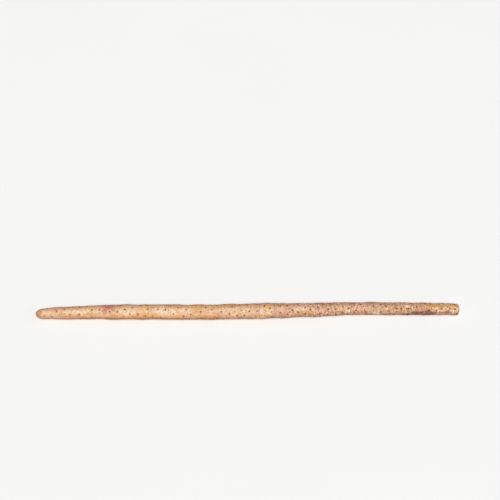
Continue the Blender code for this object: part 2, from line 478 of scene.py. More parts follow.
def spots_group():
    """Uneven spots: one in some of the cells of an uneven net."""
    inputs = {"Vector": "Vector", "Spacing": 0.004, "Radius": 0.0005, "Share": 0.5}
    graph, given, made = new_group("Spots", inputs, {"Mask": "Float"})
    waver = graph.waver(given["Vector"], graph.times(given["Radius"], 1.3))
    moved = graph.vector("ADD", given["Vector"], graph.scaled(waver, graph.times(given["Radius"], 2.5)))
    scale = graph.over(1.0, given["Spacing"])
    cells = graph.add("ShaderNodeTexVoronoi", {"Vector": moved, "Scale": scale}).outputs
    edge = graph.over(given["Radius"], given["Spacing"])
    spot = graph.band(cells["Distance"], graph.times(edge, 1.3), graph.times(edge, 0.5))
    draw = graph.result("ShaderNodeSeparateColor", {0: cells["Color"]})
    graph.give(made["Mask"], graph.times(spot, graph.math("LESS_THAN", draw, given["Share"])))
    return graph.tree


def cracks_group():
    """Thin wandering lines, drawn out across the grain."""
    inputs = {"Vector": "Vector", "Spacing": 0.003, "Stretch": 6.0, "Width": 0.02}
    graph, given, made = new_group("Fine cracks", inputs, {"Mask": "Float"})
    field = graph.noise(drawn_out(graph, given), given["Spacing"], 3.0, 0.55)
    line = graph.band(graph.math("ABSOLUTE", graph.minus(field, 0.5)), given["Width"], 0.0)
    gaps = graph.noise(given["Vector"], graph.times(given["Spacing"], 0.9), 1.0)
    graph.give(made["Mask"], graph.times(line, graph.band(gaps, 0.46, 0.60)))
    return graph.tree


SHADER_GROUPS = {"Fine grain": grain_group, "Spots": spots_group, "Fine cracks": cracks_group}


def effect(graph, name, **inputs):
    """One of the shader groups, placed in a material. It returns the group's outputs."""
    tree = bpy.data.node_groups.get(name) or SHADER_GROUPS[name]()
    return graph.add("ShaderNodeGroup", inputs, node_tree=tree).outputs


def grain(graph, vector, size, stretch=1.0):
    made = effect(graph, "Fine grain", Vector=vector, Size=size, Stretch=stretch)
    return made["Tone"], made["Height"]


def spots(graph, vector, spacing, radius, share):
    return effect(graph, "Spots", Vector=vector, Spacing=spacing, Radius=radius, Share=share)["Mask"]


def cracks(graph, vector, spacing, stretch, width):
    made = effect(graph, "Fine cracks", Vector=vector, Spacing=spacing, Stretch=stretch, Width=width)
    return made["Mask"]


def bump(graph, height, distance, below=None):
    inputs = {"Height": height, "Distance": distance}
    if below:
        inputs["Normal"] = below
    return graph.result("ShaderNodeBump", inputs)


def new_material(name):
    """A new material, its graph and the place that it is read at."""
    material = bpy.data.materials.new(name)
    material.use_nodes = True
    graph = Graph(material.node_tree)
    return material, graph, graph.add("ShaderNodeTexCoord").outputs["Object"]


def surfaced(graph, colour, roughness, normal):
    """Leads a material's looks to its shader."""
    shader = graph.tree.nodes["Principled BSDF"].inputs
    for socket, look in {"Base Color": colour, "Roughness": roughness, "Normal": normal}.items():
        graph.give(shader[socket], look)


def skin_material(look):
    """Thin papery skin: ochre and cream towards the tip, browner towards the crown."""
    material, graph, place = new_material("yam skin")
    band, noise, times, times_plus = graph.band, graph.noise, graph.times, graph.times_plus
    weather, scar, crease = graph.painted("weather"), graph.painted("scar"), graph.painted("crease")
    elsewhere = graph.vector("ADD", place, (0.0, 0.5, 0.0))
    broad = noise(place, 0.030, 3.0)
    blotch = noise(place, 0.0070, 3.0, 0.6)
    mottle = noise(place, 0.0024, 3.0, 0.65)
    clump = noise(graph.vector("MULTIPLY", elsewhere, (1.0, 0.7, 0.7)), 0.0028, 3.0, 0.6)
    drift = noise(elsewhere, 0.016)
    dapple = noise(elsewhere, 0.0052, 3.0, 0.6)
    ragged = times_plus(clump, 0.30, times_plus(mottle, 0.35, times(blotch, 0.35)))
    tone, tooth = grain(graph, place, 0.0016, 4.0)
    fine_tone, fine_tooth = grain(graph, place, 0.0007, 1.5)
    wild = times_plus(weather, 0.42, 0.58)
    unpatched = graph.minus(1.0, graph.plus(graph.painted("stain"), times(graph.painted("gold"), 0.5)))
    colour = graph.mix(band(broad, 0.38, 0.62), look.pale, look.ochre)

    def paint(mask, strength, shade, blend="MIX"):
        nonlocal colour
        colour = graph.mix(times(mask, strength), colour, shade, blend)

    def darken(mask, strength, shade=look.groove):
        paint(mask, strength, shade, "MULTIPLY")

    paint(weather, band(blotch, 0.25, 0.60, 0.55, 1.0), look.brown)
    paint(band(drift, 0.52, 0.66), times_plus(weather, 0.45, 0.20), look.rose)
    paint(band(drift, 0.46, 0.34), times_plus(weather, 0.25, 0.30), look.gold)
    paint(band(blotch, 0.50, 0.72), times_plus(weather, 0.20, 0.10), look.rose)
    paint(band(broad, 0.55, 0.42), band(blotch, 0.45, 0.28, 0.0, 0.5), look.bare)
    paint(band(dapple, 0.52, 0.68), 0.55, look.gold)
    paint(band(dapple, 0.46, 0.30), 0.55, look.cream)
    # painted shade: darkens and warms the yam's sides towards its outline as the camera sees it, partly a
    # warmer skin tone there
    flank = times(graph.painted("flank"), band(ragged, 0.35, 0.65, 0.55, 1.0))
    darken(flank, times_plus(weather, 0.1, 0.85), look.flank)
    for name in PATCHES:
        edge = graph.plus(graph.painted(name), band(ragged, 0.34, 0.66, -0.60, 0.20))
        paint(band(edge, 0.0, 0.90), 0.85, getattr(look, name))

    darken(band(mottle, 0.50, 0.34), times(wild, 0.8))
    pale_marks = times(band(mottle, 0.53, 0.68), band(unpatched, 0.0, 1.0, 0.3, 1.0))
    paint(pale_marks, times(wild, 0.6), look.fleck)
    clumps = times(band(blotch, 0.42, 0.60), band(clump, 0.50, 0.60))
    paint(times(clumps, band(unpatched, 0.0, 1.0)), times(weather, 0.5), look.fleck)
    darken(band(clump, 0.46, 0.36), times(weather, 0.35))
    darken(tone, times(wild, 0.45))
    net = times(cracks(graph, elsewhere, 0.0046, 1.0, 0.045), band(unpatched, 0.0, 1.0, 0.3, 1.0))
    paint(net, times_plus(weather, 0.60, 0.08), look.fleck)
    flecks = spots(graph, place, 0.0034, 0.00070, times_plus(weather, 0.45, 0.10))
    paint(flecks, band(unpatched, 0.0, 1.0, 0.2, 0.6), look.fleck)
    pores = spots(graph, elsewhere, 0.0054, 0.00080, 0.45)
    paint(pores, 0.55, look.pore)
    specks = spots(graph, place, 0.0028, 0.00045, times_plus(weather, 0.25, 0.35))
    paint(specks, 0.75, look.speck)
    darken(fine_tone, 0.25)
    fine_lines = cracks(graph, place, 0.0042, 5.0, 0.012)
    paint(fine_lines, times(wild, 0.35), look.speck)
    ring_lines = times(cracks(graph, place, 0.0016, 7.0, 0.045), crease)
    paint(ring_lines, 0.65, look.speck)
    darken(graph.math("POWER", crease, 2.0), band(mottle, 0.40, 0.62, 0.0, 0.6))
    ragged_scar = graph.plus(scar, band(mottle, 0.3, 0.7, -0.10, 0.10))
    darken(band(ragged_scar, 0.22, 0.46), 0.7)
    paint(band(ragged_scar, 0.42, 0.58), 0.9, look.speck)

    relief = graph.minus(times_plus(mottle, 0.7, tooth), times(fine_lines, 0.12))
    relief = graph.plus(relief, times(times(net, weather), 0.18))
    relief = graph.minus(relief, times(ring_lines, 0.35))
    normal = bump(graph, fine_tooth, 0.00035, below=bump(graph, relief, 0.00080))
    surfaced(graph, colour, times_plus(tone, 0.12, 0.72), normal)
    return material


def flesh_material(look):
    """Dried pale flesh with knife marks, and a brown rim where the skin was cut."""
    material, graph, place = new_material("cut yam flesh")
    band, times = graph.band, graph.times
    inside = graph.painted("flesh")
    patchy = graph.noise(place, 0.0040, 4.0, 0.65)
    tone, tooth = grain(graph, place, 0.0006)
    knife = graph.noise(graph.vector("MULTIPLY", place, (1.0, 1.0, 0.08)), 0.0007)
    threads = spots(graph, place, 0.0010, 0.00018, band(inside, 0.60, 0.72, 0.25, 0.75))
    ring = times(band(inside, 0.52, 0.60), band(inside, 0.68, 0.60))
    drying = (
        (band(patchy, 0.42, 0.72), 0.7),
        (threads, 0.6),
        (ring, 0.45),
        (band(knife, 0.50, 0.66), 0.35),
        (tone, 0.3),
    )
    colour = look.flesh
    for mask, strength in drying:
        colour = graph.mix(times(mask, strength), colour, look.dried)
    frayed = graph.plus(inside, band(patchy, 0.3, 0.7, -0.05, 0.05))
    for inner, outer, shade in ((0.18, 0.06, look.brown), (0.08, 0.01, look.speck)):
        rim = band(frayed, CUT_START + outer, CUT_START + inner, 0.85, 0.0)
        colour = graph.mix(rim, colour, shade)
    relief = graph.minus(graph.times_plus(knife, 0.25, times(patchy, 0.8)), times(threads, 0.15))
    normal = bump(graph, tooth, 0.00025, below=bump(graph, relief, 0.0007))
    surfaced(graph, colour, band(patchy, 0.3, 0.7, 0.60, 0.82), normal)
    return material


def dry_material(name, light, dark, size, roughness):
    """Dry plant matter or soil: two colours mixed by patches, with a fine tooth."""
    material, graph, place = new_material(name)
    tone, tooth = grain(graph, place, size)
    shade = graph.band(graph.painted("shade"), 0.0, 1.0, -0.12, 0.12)
    patchy = graph.plus(graph.noise(place, size * 6, 3.0), shade)
    colour = graph.mix(graph.band(patchy, 0.36, 0.64), light, dark)
    colour = graph.mix(graph.times(tone, 0.35), colour, dark)
    surfaced(graph, colour, graph.times_plus(tone, 0.1, roughness), bump(graph, tooth, size * 0.5))
    return material


def wart_material(name, look):
    """Corky skin that darkens towards the broken root in the middle of a wart."""
    material, graph, place = new_material(name)
    band = graph.band
    patchy = graph.noise(place, 0.0016, 3.0)
    tone, tooth = grain(graph, place, 0.0003)
    along = graph.result("ShaderNodeSeparateXYZ", {0: place})
    around = graph.mix(band(along, -0.03, 0.13), look.ochre, look.brown)
    around = graph.mix(band(patchy, 0.35, 0.65, 0.3, 1.0), around, look.groove, "MULTIPLY")
    core = graph.plus(graph.painted("core"), band(patchy, 0.3, 0.7, -0.2, 0.2))
    core = graph.minus(core, band(graph.painted("shade"), 0.0, 0.7, 0.35, 0.0))
    colour = graph.mix(band(core, 0.05, 0.60), around, look.speck)
    colour = graph.mix(graph.times(tone, 0.45), colour, look.speck)
    surfaced(graph, colour, graph.times_plus(tone, 0.1, 0.78), bump(graph, tooth, 0.00015))
    return material


def floor_material(look):
    """A matt pale board with a faint unevenness."""
    material, graph, place = new_material("pale floor")
    patchy = graph.noise(place, 0.35)
    tone, tooth = grain(graph, place, 0.0012)
    colour = graph.mix(graph.band(patchy, 0.3, 0.7, 0.0, 0.12), look.floor, look.floor_mark)
    surfaced(graph, colour, graph.times_plus(tone, 0.08, 0.66), bump(graph, tooth, 0.00002))
    return material


def geometry_tree(name, inputs):
    """A geometry tree that takes a geometry, its named inputs and a material, and gives a geometry."""
    geometry = {"Geometry": "Geometry"}
    inputs = {**geometry, **inputs, "Material": "Material"}
    return new_group(name, inputs, geometry, "GeometryNodeTree")


def kept_in(graph, geometry, margin):
    """The geometry with every point held inside the solid's box, grown by the margin, and off the floor."""
    low = [v - margin for v in CAD_BOX[0]]
    high = [v + margin for v in CAD_BOX[1]]
    low[2] = 0.0
    held = graph.vector("MINIMUM", graph.vector("MAXIMUM", graph.place(), low), high)
    return graph.moved(geometry, "Position", held)


def closing(graph, given, made, geometry, margin, *more):
    """The end of every tree: kept in, instances made real, then its material, and others by their masks."""
    last = graph.result("GeometryNodeRealizeInstances", {"Geometry": kept_in(graph, geometry, margin)})
    for mask, material in ((True, given["Material"]), *more):
        inputs = {"Geometry": last, "Selection": mask, "Material": material}
        last = graph.result("GeometryNodeSetMaterial", inputs)
    graph.give(made["Geometry"], last)


def relief_tree():
    """Wrinkles across the yam and small lumps, raised along the normal of its plain skin."""
    sizes = {"Wrinkle Depth": 0.0001, "Wrinkle Spacing": 0.003, "Lump Depth": 0.0001, "Lump Size": 0.006}
    graph, given, made = geometry_tree("Skin relief", {**sizes, "Flesh": "Material"})
    squeezed = graph.vector("MULTIPLY", graph.place(), (1.0, 0.22, 0.22))
    wrinkle = graph.noise(squeezed, given["Wrinkle Spacing"], 3.0, 0.6)
    lump = graph.noise(graph.place(), given["Lump Size"])
    depth = graph.times(given["Wrinkle Depth"], graph.plus(graph.named("weather"), 0.6))
    wrinkles = graph.times(depth, graph.band(wrinkle, 0.25, 0.75, -1.0, 1.0))
    lumps = graph.times(given["Lump Depth"], graph.band(lump, 0.2, 0.8, -1.0, 1.0))
    rise = graph.times(graph.plus(wrinkles, lumps), graph.named("relief"))
    offset = graph.scaled(graph.result("GeometryNodeInputNormal"), rise)
    raised = graph.moved(given["Geometry"], "Offset", offset)
    cut = graph.math("GREATER_THAN", graph.named("flesh"), CUT_START)
    closing(graph, given, made, raised, 0.0, (cut, given["Flesh"]))
    return graph.tree


def wart(graph, sides, steps):
    """A low wart of unit radius and height: a flared skirt, a dome and a broken root on top."""
    size = {"Radius Top": 0.16, "Radius Bottom": 1.0, "Depth": 1.0}
    inputs = {"Vertices": sides, "Side Segments": steps, **size}
    cone = graph.result("GeometryNodeMeshCone", inputs, fill_type="TRIANGLE_FAN")
    x, y, _ = graph.add("ShaderNodeSeparateXYZ", {0: graph.place()}).outputs
    off_middle = graph.add("ShaderNodeVectorMath", {0: graph.xyz(x, y)}, operation="LENGTH").outputs["Value"]
    dome = graph.band(off_middle, 1.1, 0.20, 0.0, 0.72)
    root = graph.band(off_middle, 0.42, 0.26, 0.0, 0.28)
    marked = graph.stored(cone, "core", graph.band(off_middle, 0.95, 0.45))
    return graph.moved(marked, "Position", graph.xyz(x, y, graph.plus(dome, root)))


def roughened(graph, geometry, size, amount):
    """The geometry with its points moved about by noise, so that no two bits are alike."""
    return graph.moved(geometry, "Offset", graph.scaled(graph.waver(graph.place(), size), amount))


def placed_on(graph, points, bit, rotation, scale):
    """The bit on every point, made real, each with a chance shade of its own from 0 to 1."""
    inputs = {"Points": points, "Instance": bit, "Rotation": rotation, "Scale": scale}
    placed = graph.result("GeometryNodeInstanceOnPoints", inputs)
    shaded = graph.stored(placed, "shade", graph.random(0.0, 1.0, SHADE_SEED), "INSTANCE")
    return graph.result("GeometryNodeRealizeInstances", {"Geometry": shaded})


def twisted(graph, rotation, seed):
    """The rotation with a chance turn about its own upright."""
    twist = graph.result("FunctionNodeAxisAngleToRotation", {"Angle": graph.random(0.0, MOST_TWIST, seed)})
    return graph.result("FunctionNodeRotateRotation", {0: rotation, 1: twist}, rotation_space="LOCAL")


def outward_facing(graph):
    inputs = {"Vector": graph.named("outward", "FLOAT_VECTOR")}
    return graph.result("FunctionNodeAlignRotationToVector", inputs, axis="Z")


def shape_of(graph, thing):
    return graph.add("GeometryNodeObjectInfo", {"Object": thing}).outputs["Geometry"]


def wart_tree():
    """A wart with a broken root on each point, turned to face outwards."""
    graph, given, made = geometry_tree("Root warts", {"Sunk": 0.0002, "Ragged": 0.0010, "Seed": 0})
    turned = twisted(graph, outward_facing(graph), given["Seed"])
    wide = graph.named("wide")
    tall = graph.plus(graph.named("tall"), given["Sunk"])
    longer = graph.times(wide, graph.random(0.85, 1.3, graph.plus(given["Seed"], 1)))
    real = placed_on(graph, given["Geometry"], wart(graph, 9, 5), turned, graph.xyz(longer, wide, tall))
    ragged = roughened(graph, real, 0.0009, given["Ragged"])
    closing(graph, given, made, ragged, 0.0002)
    return graph.tree


def rounded_bit(graph):
    return graph.result("GeometryNodeMeshUVSphere", {"Segments": 7, "Rings": 5, "Radius": 1.0})


def small_wart(graph):
    return wart(graph, 7, 3)


def scatter_tree(name, bit):
    """Small bits scattered over the skin where a stored value lets them lie, no two nearer than the gap."""
    spacing = {"Skin": "Object", "Where": "String", "Gap": 0.004, "Most Density": 90000.0, "Seed": 0}
    shape = {"Smallest": 0.0003, "Largest": 0.0006, "Length": 1.0, "Flatness": 0.4, "Ragged": 0.5}
    graph, given, made = geometry_tree(name, {**spacing, **shape})
    inputs = {
        "Mesh": shape_of(graph, given["Skin"]),
        "Distance Min": given["Gap"],
        "Density Max": given["Most Density"],
        "Density Factor": graph.named(given["Where"]),
        "Seed": given["Seed"],
    }
    spread = graph.add("GeometryNodeDistributePointsOnFaces", inputs, distribute_method="POISSON").outputs
    turned = twisted(graph, spread["Rotation"], given["Seed"])
    size = graph.random(given["Smallest"], given["Largest"], given["Seed"])
    stretch = graph.random(0.8, given["Length"], graph.plus(given["Seed"], 1))
    scale = graph.xyz(graph.times(size, stretch), size, graph.times(size, given["Flatness"]))
    real = placed_on(graph, spread["Points"], bit(graph), turned, scale)
    marks = graph.times(given["Largest"], 1.3)
    ragged = roughened(graph, real, marks, graph.times(given["Largest"], given["Ragged"]))
    closing(graph, given, made, ragged, 0.0003)
    return graph.tree


def rootlet_tree():
    """Thin dry roots that start on the points, wander over the skin and end a little off it."""
    sizes = {"Shortest": 0.002, "Longest": 0.008, "Thickness": 0.0002, "Wander": 0.006, "Stand Off": 0.0009}
    graph, given, made = geometry_tree("Rootlets", {"Skin": "Object", **sizes, "Seed": 0})
    line = graph.result("GeometryNodeCurvePrimitiveLine", {"End": (1.0, 0.0, 0.0)})
    steps = graph.result("GeometryNodeResampleCurve", {"Curve": line, "Count": 9})
    long = graph.random(given["Shortest"], given["Longest"], given["Seed"])
    turned = twisted(graph, outward_facing(graph), given["Seed"])
    lines = placed_on(graph, given["Geometry"], steps, turned, long)

    place = graph.place()
    part = graph.result("GeometryNodeSplineParameter")
    wander = graph.scaled(graph.scaled(graph.waver(place, 0.0035), given["Wander"]), part)
    moved = graph.vector("ADD", place, wander)
    inputs = {"Target": shape_of(graph, given["Skin"]), "Source Position": moved}
    nearest = graph.result("GeometryNodeProximity", inputs, target_element="FACES")
    away = graph.vector("NORMALIZE", graph.vector("SUBTRACT", moved, nearest))
    rise = graph.times(graph.math("POWER", part, 1.5), given["Stand Off"])
    rise = graph.plus(rise, graph.times(given["Thickness"], 0.3))
    lines = graph.moved(lines, "Position", graph.vector("ADD", nearest, graph.scaled(away, rise)))

    taper = graph.times(given["Thickness"], graph.band(part, 0.0, 1.0, 0.5, 0.2))
    lines = graph.result("GeometryNodeSetCurveRadius", {"Curve": lines, "Radius": taper})
    ring = graph.result("GeometryNodeCurvePrimitiveCircle", {"Resolution": 4, "Radius": 1.0})
    inputs = {"Curve": lines, "Profile Curve": ring, "Scale": taper, "Fill Caps": True}
    solid = graph.result("GeometryNodeCurveToMesh", inputs)
    closing(graph, given, made, solid, 0.0006)
    return graph.tree


def through_tree(obj, tree, values):
    """Gives the object the mesh that the geometry tree makes of its own, as a plain mesh."""
    modifier = obj.modifiers.new(tree.name, "NODES")
    modifier.node_group = tree
    for item in tree.interface.items_tree:
        if item.in_out == "INPUT" and item.name in values:
            modifier[item.identifier] = values[item.name]
    graph = bpy.context.evaluated_depsgraph_get()
    made = bpy.data.meshes.new_from_object(obj.evaluated_get(graph))
    obj.modifiers.remove(modifier)
    obj.data = made
    made.name = obj.name
    if not made.polygons:
        raise RuntimeError(f"{obj.name} came out empty")


def new_object(name, data):
    obj = bpy.data.objects.new(name, data)
    bpy.context.scene.collection.objects.link(obj)
    return obj


def store(data, name, values, kind="FLOAT"):
    """Stores one value for each vertex of the mesh."""
    layer = data.attributes.new(name, kind, "POINT")
    key = "vector" if kind == "FLOAT_VECTOR" else "value"
    layer.data.foreach_set(key, np.asarray(values, np.float32).ravel())


def skin_rows(count):
    """The fine skin's rows: distance from the tip, share of the last girth, and how far inside the cut."""
    tip = TIP_LENGTH * (1 - np.cos(np.linspace(0, np.pi / 2, TIP_ROWS + 2)[1:-1]))
    body = np.linspace(TIP_LENGTH, LENGTH - CROWN_ROUND, count)
    bend = np.linspace(0, np.pi / 2, EDGE_ROWS + 1)[1:]
    edge = LENGTH - CROWN_ROUND * (1 - np.sin(bend))
    edge_share = 1 - CROWN_ROUND * (1 - np.cos(bend)) / girth_radius(LENGTH)
    across = np.linspace(1, 0, CUT_ROWS + 2)[1:-1]
    face = LENGTH - CROWN_HOLLOW * (1 - across**2)
    along = np.concatenate([tip, body, edge, face])
    uncut = len(tip) + len(body)
    share = np.concatenate([np.ones(uncut), edge_share, across * edge_share[-1]])
    over_edge, over_face = np.linspace(0, 0.5, EDGE_ROWS), np.linspace(0.5, 1, CUT_ROWS)
    inside = np.concatenate([np.zeros(uncut), over_edge, over_face])
    return along, share, inside


def skin_grid(rows, sides):
    """The fine skin as points, faces, and where each point is: distance from the tip, turn and cut."""
    along, share, inside = skin_rows(rows)
    turn = np.arange(sides) / sides
    on_body = np.minimum(along, LENGTH)[:, None]
    body = skin(on_body, turn[None, :])
    crown = skin(LENGTH, turn)
    middle = crown.mean(axis=0)
    cut = middle + (crown - middle) * share[:, None, None]
    points = np.where((inside > 0)[:, None, None], cut, body)
    points[..., 0] = (along - LENGTH / 2)[:, None]
    ends = np.array([skin(0.0, 0.0), middle])
    ends[1, 0] = LENGTH / 2 - CROWN_HOLLOW
    points = np.concatenate([points.reshape(-1, 3), ends])

    index = np.arange(len(along) * sides).reshape(-1, sides)
    ahead = np.roll(index, -1, axis=1)
    quads = np.stack([index[:-1], ahead[:-1], ahead[1:], index[1:]], axis=-1).reshape(-1, 4)
    tip, centre = len(points) - 2, len(points) - 1
    fans = [(tip, b, a) for a, b in zip(index[0], ahead[0])]
    fans += [(centre, a, b) for a, b in zip(index[-1], ahead[-1])]
    faces = quads.tolist() + fans
    along = np.append(np.repeat(along, sides), (0.0, LENGTH))
    turn = np.append(np.tile(turn, len(index)), (0.25, 0.25))
    inside = np.append(np.repeat(inside, sides), (0.0, 1.0))
    return points, faces, along, turn, inside


def wart_sizes(count):
    """How large each wart is beside the set radius."""
    return np.random.default_rng(WART_SEED).uniform(*WART_RANGE, count)


def scar_masks(points, tops, reach, strengths):
    """How near each point is to a root wart: its strength at its middle, and 0 from reach away."""
    near = np.zeros(len(points))
    order = np.argsort(points[:, 0])
    sorted_x = points[order, 0]
    for top, strength in zip(tops, strengths):
        first, last = np.searchsorted(sorted_x, (top[0] - reach, top[0] + reach))
        close = order[first:last]
        away = np.linalg.norm(points[close] - top, axis=1) / reach
        near[close] = np.maximum(near[close], strength * (1 - np.minimum(away, 1)))
    return near


def length(name, description, default):
    return bpy.props.FloatProperty(name=name, description=description, default=default, unit="LENGTH")


def brightness(name, description, default):
    return bpy.props.FloatProperty(name=name, description=description, default=default)


def number(name, description, default, least, most):
    return bpy.props.IntProperty(name=name, description=description, default=default, min=least, max=most)


def shade(name, description, *levels):
    return bpy.props.FloatVectorProperty(
        name=name, description=description, subtype="COLOR", size=4, min=0, max=1, default=linear(*levels)
    )


class YamSkinSettings(bpy.types.PropertyGroup):
    rows: number("Rows", "Rows of faces along the yam", 930, 200, 990)
    sides: number("Sides", "Faces round the yam", 96, 24, 100)
    wrinkle_depth: length("Wrinkle depth", "Depth of the wrinkles across the skin", 0.00015)
    wrinkle_spacing: length("Wrinkle spacing", "Distance from wrinkle to wrinkle", 0.0034)
    lump_depth: length("Lump depth", "Height of the small lumps", 0.00016)
    lump_size: length("Lump size", "Width of the small lumps", 0.0065)
    collar_height: length("Collar height", "How far the skin rises round a root stub", 0.00022)
    collar_reach: length("Collar reach", "Radius of the marked skin round a root stub", 0.0026)


class YamColourSettings(bpy.types.PropertyGroup):
    pale: shade("Pale skin", "The palest skin, towards the tip", 240, 210, 180)
    ochre: shade("Ochre skin", "The yellower skin", 228, 184, 140)
    brown: shade("Brown skin", "The weathered skin, towards the crown", 207, 158, 119)
    rose: shade("Rosy skin", "The rosy blotches", 232, 178, 158)
    gold: shade("Golden skin", "The golden blotches", 231, 179, 102)
    # the colour of the rust patches, and also of the painted shade along the yam's edges and at its tip
    rust: shade("Rust", "The rusty patches", 188, 118, 72)
    stain: shade("Stain", "The dark purple-brown patches", 122, 74, 62)
    bare: shade("Rubbed skin", "Where the outer skin is rubbed away", 244, 208, 158)
    cream: shade("Cream skin", "The palest rubbed patches", 247, 224, 194)
    blush: shade("Blush", "The rosy blush on the skin", 194, 112, 116)
    # painted shade for the yam's sides as the camera sees them, partly a warmer skin tone
    flank: shade("Flanks", "What warms and darkens the skin along the yam's sides", 208, 156, 114)
    groove: shade("Grooves", "What darkens the grooves of the grain", 176, 138, 112)
    fleck: shade("Flecks", "The pale flecks of loose skin", 246, 226, 200)
    pore: shade("Pores", "The soft brown pores of the skin", 158, 108, 72)
    speck: shade("Specks", "The dark specks and the skin at the root stubs", 80, 52, 40)
    flesh: shade("Flesh", "The flesh at the cut", 250, 232, 204)
    dried: shade("Dried flesh", "The browned patches of the flesh", 212, 180, 144)
    rootlet: shade("Rootlets", "The dry rootlets", 182, 142, 108)
    rootlet_dark: shade("Dark rootlets", "The darker patches of the rootlets", 112, 80, 58)
    flake: shade("Flakes", "The loose flakes of skin", 214, 184, 152)
    flake_dark: shade("Dark flakes", "The darker patches of the flakes", 178, 138, 108)
    soil: shade("Soil", "The crumbs of soil", 124, 98, 76)
    soil_dark: shade("Dark soil", "The darker patches of the crumbs", 74, 54, 42)


class YamRootSettings(bpy.types.PropertyGroup):
    wart_radius: length("Wart radius", "Radius of a root wart", 0.00100)
    scar_gap: length("Scar gap", "Least distance from small scar to small scar", 0.0048)
    scar_radius: length("Scar radius", "Radius of the largest small scar", 0.00092)
    rootlets: number("Rootlets", "Number of rootlets that don't start on a wart", 260, 0, 2000)
    rootlet_length: length("Rootlet length", "Length of the longest rootlet", 0.0075)
    rootlet_thickness: length("Rootlet thickness", "Thickness of a rootlet at its root", 0.00030)


class YamLitterSettings(bpy.types.PropertyGroup):
    flake_gap: length("Flake gap", "Least distance from flake to flake", 0.0046)
    flake_size: length("Flake size", "Half the length of the largest flake", 0.0011)
    soil_gap: length("Soil gap", "Least distance from crumb to crumb", 0.0026)
    soil_size: length("Soil size", "Radius of the largest crumb of soil", 0.00034)


class YamStageSettings(bpy.types.PropertyGroup):
    floor_radius: length("Floor radius", "Radius of the round floor", 12.0)
    floor: shade("Floor", "The pale floor", 225, 225, 224)
    floor_mark: shade("Floor marks", "The faint patches of the floor", 218, 218, 216)
    key: brightness("Key light", "Strength of the wide soft light", 3.45)
    side: brightness("Side light", "Strength of the soft light from the crown's side", 0.8)
    sky: brightness("Sky", "Strength of the even light from all round", 0.16)
    seen_sky: brightness("Seen sky", "How bright the camera sees the sky", 0.88)


class YAM_OT_skin(bpy.types.Operator):
    """Adds the fine skin and the cut crown in place of the plain solid"""

    bl_idname = "yam.add_skin"
    bl_label = "Add Skin"

    def execute(self, context):
        look, shades = context.scene.yam_skin, context.scene.yam_colours
        points, faces, along, turn, inside = skin_grid(look.rows, look.sides)
        top_along, top_turn, _ = nub_tops()
        strengths = wart_sizes(len(top_along)) ** 0.5
        near = scar_masks(points, skin(top_along, top_turn), look.collar_reach, strengths)
        share = along / LENGTH
        y, z = middle_line(along)
        outward = np.stack([np.zeros(len(points)), points[:, 1] - y, points[:, 2] - z], axis=-1)
        outward /= np.linalg.norm(outward, axis=1, keepdims=True) + 1e-9
        points = settled(points + outward * (look.collar_height * near**2)[:, None], solid_shift())

        data = bpy.data.meshes.new("yam_body")
        data.from_pydata(points.tolist(), [], faces)
        off_floor = smooth(*PRESSED, points[:, 2])
        on_skin = 1 - smooth(0.0, 0.1, inside)
        weather = smooth(*WEATHERED, share)
        crease = np.clip(creasing(along, turn) / FULL_CREASE, 0, 1) * on_skin
        clear = off_floor * on_skin * (near < 0.25) * (share > 0.012)
        masks = {
            "relief": off_floor * (1 - 0.7 * smooth(0.3, 0.7, near)) * (0.35 + 0.65 * on_skin),
            "weather": weather,
            # painted shade: strongest on the two sides at the yam's outline seen from the camera, nil along
            # the line that faces it and the one across
            "flank": (0.5 - 0.5 * np.cos(4 * np.pi * (turn - UNSHADED_TURN))) ** 0.85 * on_skin,
            "scar": near * on_skin,
            "crease": crease,
            "flesh": inside,
            "growth": clear * (0.36 + 0.64 * share**1.4),
            "flaking": clear * (0.06 + 0.7 * weather),
            "soil": clear * np.clip(0.03 + 0.22 * weather + 0.9 * crease, 0, 1),
        }
        for name, patches in PATCHES.items():
            masks[name] = patch_mask(patches, share, turn) * on_skin
        for name, mask in masks.items():
            store(data, name, mask)
        data.shade_smooth()
        body = new_object("yam_body", data)
        values = {
            "Wrinkle Depth": look.wrinkle_depth,
            "Wrinkle Spacing": look.wrinkle_spacing,
            "Lump Depth": look.lump_depth,
            "Lump Size": look.lump_size,
            "Material": skin_material(shades),
            "Flesh": flesh_material(shades),
        }
        through_tree(body, relief_tree(), values)
        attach(body, "root")
        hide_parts("yam")
        return {"FINISHED"}


def facing_points(name, along, turn):
    """A mesh of loose points on the skin that store the way they face."""
    shift = solid_shift()
    points = settled(skin(along, turn), shift)
    outward = settled(skin(along, turn, lift=0.002), shift) - points
    data = bpy.data.meshes.new(name)
    data.from_pydata(points.tolist(), [], [])
    store(data, "outward", outward / np.linalg.norm(outward, axis=1, keepdims=True), "FLOAT_VECTOR")
    return data


def add_piece(name, data, tree, values):
    """A finished piece: the mesh as the tree makes it, fixed to the yam."""
    piece = new_object(name, data)
    through_tree(piece, tree, values)
    piece.data.shade_smooth()
    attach(piece, "root")


def add_bits(name, bit, where, material, values):
    """A piece of small bits scattered over the skin where a stored value lets them lie."""
    values = {"Skin": bpy.data.objects["yam_body"], "Where": where, "Material": material, **values}
    add_piece(name, bpy.data.meshes.new(name), scatter_tree(name, bit), values)


class YAM_OT_warts(bpy.types.Operator):
    """Adds a wart with a broken root on each nub of the solid"""

    bl_idname = "yam.add_warts"
    bl_label = "Add Root Warts"

    def execute(self, context):
        along, turn, height = nub_tops()
        data = facing_points("root_warts", along, turn)
        store(data, "tall", height)
        store(data, "wide", context.scene.yam_roots.wart_radius * wart_sizes(len(along)))
        material = wart_material("root wart", context.scene.yam_colours)
        add_piece("root_warts", data, wart_tree(), {"Seed": 3, "Material": material})
        return {"FINISHED"}


